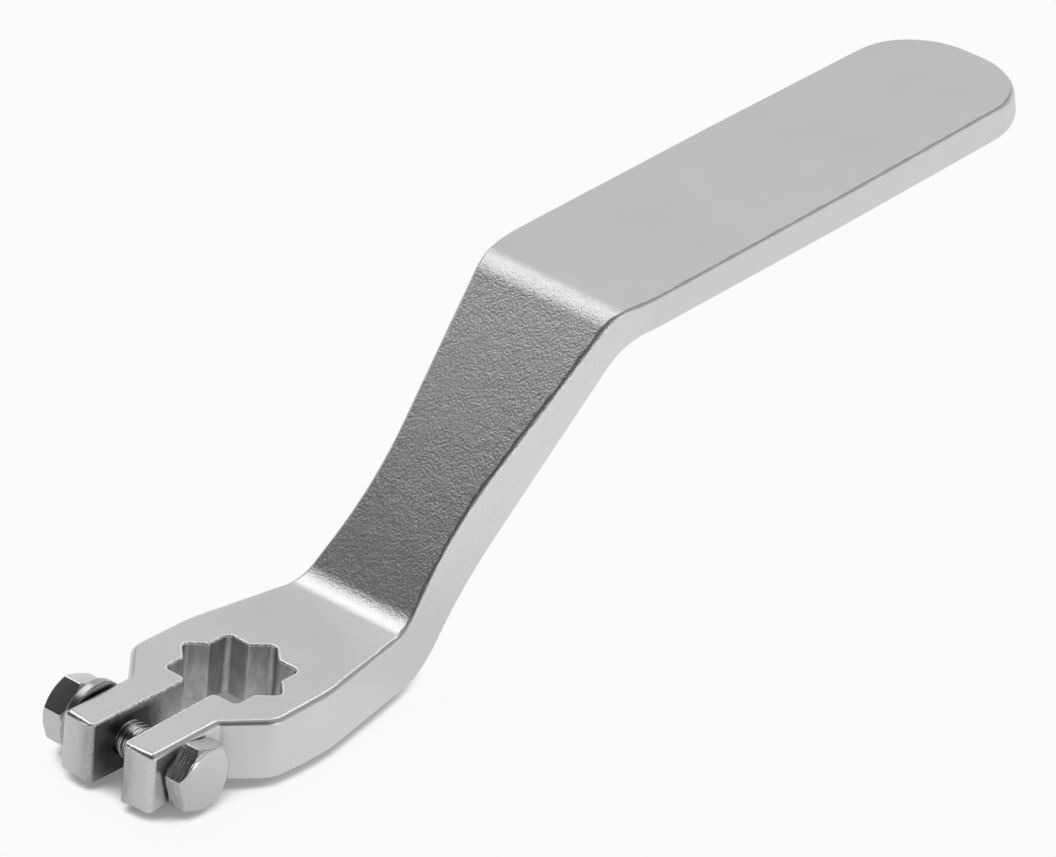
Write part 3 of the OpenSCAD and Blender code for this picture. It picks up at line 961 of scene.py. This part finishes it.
def cast_steel():
    """Blasted cast steel: satin, with a fine even grain, painted shade on the socket's
    and slot's walls and round the bolt, and painted highlights on the rims.

    The painted shade round the bolt is full up to 0.42 of the hexagons' width from
    the bolt's axis and gone at 0.9 of it.
    """
    found = bpy.data.materials.get("cast_steel")
    if found:
        return found
    look = bpy.context.scene.valve_lever_finish
    mat = metal_material(
        "cast_steel",
        tuple(look.lever_colour),
        {
            "Grain Scale": 2900.0,
            "Grain Height": look.grain_height,
            "Swell Scale": 80.0,
            "Swell Height": look.swell_height,
            "Mark Scale": (800.0, 800.0, 330.0),
            "Mark Height": 0.012 * MM,
            "Roughness": 0.3,
            "Roughness Change": 0.06,
            "Colour Change": 0.06,
        },
        (("Wall Shade And Dull", "wall_shade_and_dull"), ("Highlit Edge", "highlit_edge"), ("Blasted", "blasted")),
    )
    lever = bpy.context.scene.valve_lever_sizes
    fasteners = bpy.context.scene.valve_lever_fasteners
    values = {
        "Axis": (-fasteners.bolt_x, 0.0, fasteners.bolt_z),
        "Inner": fasteners.hex_af * 0.42,
        "Outer": fasteners.hex_af * 0.9,
        "Top": lever.hub_t - 0.5 * MM,
        "Half Gap": lever.slot_w / 2 + 1 * MM,
        "Strength": 0.75,
    }
    tree = mat.node_tree
    # Painted shade round the bolt where it meets the ears
    ring = add_node(tree, "ShaderNodeGroup", values, node_tree=bolt_shade_ring_group())
    put(tree, ring.outputs["Painted Shade"], tree.nodes["surface"].inputs["Painted Shade"])
    return mat


def bright_steel():
    """Bright drawn steel of the bolt, washer and nut, with fine draw marks."""
    found = bpy.data.materials.get("bright_steel")
    if found:
        return found
    look = bpy.context.scene.valve_lever_finish
    return metal_material(
        "bright_steel",
        tuple(look.fastener_colour),
        {
            "Grain Scale": 3600.0,
            "Grain Height": 0.004 * MM,
            "Swell Scale": 300.0,
            "Swell Height": 0.012 * MM,
            "Mark Scale": (500.0, 2600.0, 500.0),
            "Mark Height": 0.018 * MM,
            "Roughness": 0.18,
            "Roughness Change": 0.08,
            "Colour Change": 0.06,
        },
        # The wall share paints shade on the thread and makes the washer duller and darker
        (("Wall Shade And Dull", "wall_shade_and_dull"), ("Blasted", "drawn_facet")),
    )


def make_piece(name, verts, faces, material, body, node):
    """A mesh object at the origin that stands for a solid and rides on its body."""
    mesh = bpy.data.meshes.new(name)
    mesh.from_pydata(verts.tolist(), [], faces)
    mesh.validate(clean_customdata=False)
    mesh.update()
    mesh.shade_smooth()
    mesh.materials.append(material)
    piece = bpy.data.objects.new(name, mesh)
    bpy.context.scene.collection.objects.link(piece)
    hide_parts(node)
    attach(piece, body)
    return piece


def add_share(piece, name, values):
    """Puts one number per point on a piece, for its material to read."""
    share = piece.data.attributes.new(name, "FLOAT", "POINT")
    share.data.foreach_set("value", np.asarray(values, np.float32))


class VALVELEVER_OT_casting(bpy.types.Operator):
    """Build the cast lever with its rounded edges"""

    bl_idname = "valvelever.casting"
    bl_label = "Cast lever"

    def execute(self, context):
        verts, faces, norms, shares = lever_mesh(context.scene.valve_lever_sizes)
        piece = make_piece(
            "cast_lever", verts, faces, cast_steel(), "lever", "lever"
        )
        if len(piece.data.vertices) != len(verts):
            raise RuntimeError("the lever's skin lost points")
        # The first share paints shade on the socket's and slot's walls, the second paints
        # highlights on the rims
        for column, name in enumerate(("wall_shade_and_dull", "highlit_edge", "blasted")):
            add_share(piece, name, shares[:, column])
        piece.data.normals_split_custom_set_from_vertices(norms.tolist())
        return {"FINISHED"}


def bolt_shares(f, verts, ear_half):
    """Painted shade share and streak share of the bolt's points.

    The painted shade share is SHANK_SHADE on the shank, where it darkens the
    thread, and grows to that from 0 just under the head. The streak share is
    HEAD_STREAKS on the head's flats and 0 elsewhere.
    """
    along = verts[:, 1] + ear_half
    shank = SHANK_SHADE * ramp(along, 0.3 * MM, 0.8 * MM)
    away = np.hypot(verts[:, 0] + f.bolt_x, verts[:, 2] - f.bolt_z)
    deep = along + f.head_h
    flats = (away > f.hex_af * 0.498) & (deep > 0.3 * MM) & (deep < f.head_h * 0.9)
    return shank, HEAD_STREAKS * flats


class VALVELEVER_OT_bolt(bpy.types.Operator):
    """Build the clamping bolt with its thread"""

    bl_idname = "valvelever.bolt"
    bl_label = "Clamping bolt"

    def execute(self, context):
        ear_half = context.scene.valve_lever_sizes.ear_span / 2
        f = context.scene.valve_lever_fasteners
        verts, faces = bolt_mesh(f, ear_half)
        node = "clamp_bolt"
        piece = make_piece(
            "threaded_bolt", verts, faces, bright_steel(), node, node
        )
        shank, flats = bolt_shares(f, verts, ear_half)
        # Painted shade on the thread
        add_share(piece, "wall_shade_and_dull", shank)
        add_share(piece, "drawn_facet", flats)
        return {"FINISHED"}


class VALVELEVER_OT_nut(bpy.types.Operator):
    """Build the washer and the nut"""

    bl_idname = "valvelever.nut"
    bl_label = "Washer and nut"

    def execute(self, context):
        ear_half = context.scene.valve_lever_sizes.ear_span / 2
        f = context.scene.valve_lever_fasteners
        steel = bright_steel()
        verts, faces = washer_mesh(f, ear_half)
        washer = make_piece(
            "round_washer", verts, faces, steel, "nut", "flat_washer"
        )
        # The washer is darker and rougher all over: a duller finish and painted shade
        add_share(washer, "wall_shade_and_dull", np.full(len(verts), WASHER_DULL_AND_SHADE))
        verts, faces = nut_mesh(f, ear_half)
        make_piece("bolt_nut", verts, faces, steel, "nut", "hex_nut")
        return {"FINISHED"}


def area_lamp(name, place, aim, size, power):
    """A rectangular soft lamp at place that faces aim, unseen by the camera.

    Its back points from aim to place, and its right is +Y crossed with that.
    """
    data = bpy.data.lights.new(name, "AREA")
    data.shape = "RECTANGLE"
    data.size, data.size_y = size
    data.energy = power
    lamp = bpy.data.objects.new(name, data)
    lamp.visible_camera = False
    bpy.context.scene.collection.objects.link(lamp)
    back = unit(np.asarray(place, float) - np.asarray(aim, float))
    right = unit(np.cross((0, 1, 0), back))
    set_axes(lamp, right, np.cross(back, right), back, place)


def set_axes(obj, right, up, back, place):
    """Turns an object so that its own axes are these, at that place."""
    rows = [(*axes, at) for *axes, at in zip(right, up, back, place)]
    obj.matrix_world = Matrix((*rows, (0.0, 0.0, 0.0, 1.0)))


def floor_material(colour):
    """White floor that keeps a soft shadow: part glow to the eye, part matte.

    The glow's share is 0.94 to the camera and 0.62 through clear things. In
    reflections it is the sum of the smooth steps FLOOR_STEPS along X, weakest
    below the ears and strongest below the incline. All of it falls to 0.16 of
    that where the floor is closed in on most sides, such as inside the socket.
    """
    mat = bpy.data.materials.new("stage_floor")
    mat.use_nodes = True
    tree = mat.node_tree
    tree.nodes.clear()
    matte = add_node(tree, "ShaderNodeBsdfDiffuse", {"Color": (*colour, 1)})
    glow = add_node(tree, "ShaderNodeEmission", {"Strength": 1.0})
    ray = tree.nodes.new("ShaderNodeLightPath").outputs

    x = object_place(tree)[1]["X"]
    share = maths(tree, "MULTIPLY", ray["Is Camera Ray"], 0.94)
    for step in FLOOR_STEPS:
        part = smooth_range(tree, x, *step)
        share = maths(tree, "MULTIPLY_ADD", ray["Is Glossy Ray"], part, share)
    share = maths(tree, "MULTIPLY_ADD", ray["Is Transmission Ray"], 0.62, share)
    near = add_node(
        tree, "ShaderNodeAmbientOcclusion", {"Distance": 12 * MM}, samples=16
    )
    opened = smooth_range(tree, near.outputs["AO"], 0.25, 0.5, 0.16, 1.0)
    share = maths(tree, "MULTIPLY", share, opened)
    values = {0: share, 1: matte.outputs[0], 2: glow.outputs[0]}
    mix = add_node(tree, "ShaderNodeMixShader", values)
    add_node(tree, "ShaderNodeOutputMaterial", {"Surface": mix.outputs[0]})
    return mat


def studio_world():
    """A studio room: white at the horizon and darker towards the ceiling.

    Brightness is 1 - up x dark. Up goes from 0 to 1 as the view rises, and dark
    from 0.93 towards -X to 0.5 towards +X.
    """
    world = bpy.data.worlds.new("studio")
    bpy.context.scene.world = world
    world.use_nodes = True
    tree = world.node_tree
    tree.nodes.clear()
    axes = object_place(tree)[1]
    up = smooth_range(tree, axes["Z"], 0.02, 0.42, 0.0, 1.0)
    dark = smooth_range(tree, axes["X"], -0.5, 0.3, 0.93, 0.5)
    shade = maths(tree, "MULTIPLY", up, dark)
    values = {"Strength": maths(tree, "SUBTRACT", 1.0, shade)}
    room = add_node(tree, "ShaderNodeBackground", values)
    add_node(tree, "ShaderNodeOutputWorld", {"Surface": room.outputs[0]})


class VALVELEVER_OT_stage(bpy.types.Operator):
    """Set the floor, the soft lamps and the camera"""

    bl_idname = "valvelever.stage"
    bl_label = "Stage"

    def execute(self, context):
        look = context.scene.valve_lever_stage
        half = look.floor_half
        z = float(CAD_BOX[0][2]) - FLOOR_GAP
        mesh = bpy.data.meshes.new("floor")
        signs = ((-1, -1), (1, -1), (1, 1), (-1, 1))
        corners = [(x * half, y * half, z) for x, y in signs]
        mesh.from_pydata(corners, [], [(0, 1, 2, 3)])
        mesh.materials.append(floor_material(tuple(look.floor_colour)))
        floor = bpy.data.objects.new("floor", mesh)
        context.scene.collection.objects.link(floor)

        middle = (0.07, 0.0, 0.02)
        bends = (0.055, 0.0, 0.02)
        for lamp in (
            ("far_softbox", (1.6, 1.25, 1.25), middle, (1.9, 1.5), look.far_power),
            ("top_softbox", (0.055, 0.223, 0.378), bends, (0.31, 0.24), look.top_power),
            ("rim_softbox", (0.2, -1.6, 0.17), middle, (0.8, 0.24), look.rim_power),
            ("edge_softbox", (1.15, 0.36, 1.4), middle, (0.45, 0.45), look.edge_power),
        ):
            area_lamp(*lamp)
        studio_world()

        data = bpy.data.cameras.new("camera")
        data.lens = look.lens
        data.sensor_fit = "HORIZONTAL"
        data.sensor_width = 36.0
        data.clip_start = 0.05
        data.clip_end = 50.0
        camera = bpy.data.objects.new("camera", data)
        context.scene.collection.objects.link(camera)
        set_axes(camera, *CAMERA_AXES, CAMERA_PLACE)
        context.scene.camera = camera
        context.scene.view_settings.view_transform = "Standard"
        return {"FINISHED"}


class VALVELEVER_PT_panel(bpy.types.Panel):
    """Lists the lever's sizes and the steps that build it"""

    bl_idname = "VALVELEVER_PT_panel"
    bl_label = "Valve Lever"
    bl_space_type = "VIEW_3D"
    bl_region_type = "UI"
    bl_category = "Valve Lever"

    def draw(self, context):
        layout = self.layout
        for group, name in SETTINGS.items():
            box = layout.box()
            for key in group.__annotations__:
                box.prop(getattr(context.scene, name), key)
        for step in STEPS:
            layout.operator(step.bl_idname)


SETTINGS = {
    LeverSizes: "valve_lever_sizes",
    FastenerSizes: "valve_lever_fasteners",
    FinishSettings: "valve_lever_finish",
    StageSettings: "valve_lever_stage",
}
STEPS = (
    VALVELEVER_OT_stage,
    VALVELEVER_OT_casting,
    VALVELEVER_OT_bolt,
    VALVELEVER_OT_nut,
)
CLASSES = (*SETTINGS, *STEPS, VALVELEVER_PT_panel)


def register():
    """Adds the classes and puts the settings on the scene."""
    for cls in CLASSES:
        bpy.utils.register_class(cls)
    for group, name in SETTINGS.items():
        setattr(bpy.types.Scene, name, PointerProperty(type=group))


def unregister():
    """Takes the settings and the classes away again."""
    for name in SETTINGS.values():
        delattr(bpy.types.Scene, name)
    for cls in reversed(CLASSES):
        bpy.utils.unregister_class(cls)


def main():
    """Builds every piece."""
    register()
    bpy.ops.valvelever.stage()
    bpy.ops.valvelever.casting()
    bpy.ops.valvelever.bolt()
    bpy.ops.valvelever.nut()


if __name__ == "__main__":
    main()
